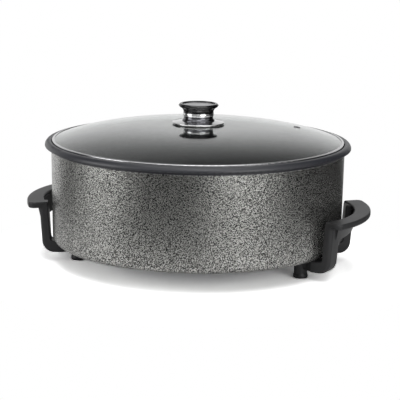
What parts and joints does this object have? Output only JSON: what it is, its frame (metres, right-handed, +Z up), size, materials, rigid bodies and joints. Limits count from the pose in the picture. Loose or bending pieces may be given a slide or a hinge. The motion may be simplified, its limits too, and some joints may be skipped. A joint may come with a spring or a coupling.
{
  "type": "electric hot pot",
  "caption": "Wide round electric pan with a hammered grey body, loose domed glass lid with a knob, and two black side handles whose legs run under it to short feet.",
  "frame": {"origin": "on the table, under the middle of the pan (bottom centre of the bounding box)", "axes": "+Z up, +X along the handle without the inlet, so that the handles lie on the X axis; -Y is the side that the picture sees"},
  "size_m": [0.48, 0.4192, 0.2203],
  "materials": {
    "hammered_cast_aluminium": "hammered grey enamel outside, dark non-stick inside",
    "black_phenolic": "satin moulded phenolic",
    "foot_rubber": "smooth",
    "screw_steel": "zinc plated",
    "element_sheath": "dull, heat stained",
    "ceramic": "fired, matt",
    "zinc_plated_steel": "plated",
    "nickel_plated_brass": "polished nickel plate",
    "sleeve_aluminium": "drawn tube",
    "brass": "plain",
    "reflector_steel": "aluminised sheet",
    "lid_glass": "clear tempered",
    "band_steel": "polished edge",
    "glossy_phenolic": "glossy",
    "inlay_steel": "fine satin",
    "polished_chrome": "mirror bright",
    "silicone": "translucent"
  },
  "bodies": {
    "pan": {"pan_body": "hammered_cast_aluminium", "handle_right": "black_phenolic", "handle_left": "black_phenolic", "inlet_socket": "black_phenolic", "foot_right_front": "foot_rubber", "foot_right_rear": "foot_rubber", "foot_left_front": "foot_rubber", "foot_left_rear": "foot_rubber", "handle_screws": "screw_steel", "handle_washers": "screw_steel", "clip_screws": "screw_steel", "socket_screws": "screw_steel", "clamp_screws": "screw_steel", "earth_screw": "screw_steel", "reflector_screws": "screw_steel", "heating_element": "element_sheath", "end_seals": "ceramic", "element_clips": "zinc_plated_steel", "probe_clamp": "zinc_plated_steel", "terminal_pins": "nickel_plated_brass", "probe_sleeve": "sleeve_aluminium", "earth_contact": "brass", "reflector": "reflector_steel"},
    "lid": {"lid_glass": "lid_glass", "lid_band": "band_steel", "vent_eyelet": "band_steel", "knob_grip": "glossy_phenolic", "knob_inlay": "inlay_steel", "knob_insert": "brass", "knob_ring": "polished_chrome", "knob_collar": "polished_chrome", "knob_saucer": "polished_chrome", "knob_gasket": "silicone", "knob_inner_gasket": "silicone", "knob_washer": "screw_steel", "knob_screw": "screw_steel"}
  },
  "joints": [
    {"name": "lid_lift", "type": "slide", "parent": "pan", "child": "lid", "axis": [0, 0, 1], "range_m": [0, 0.15]}
  ]
}
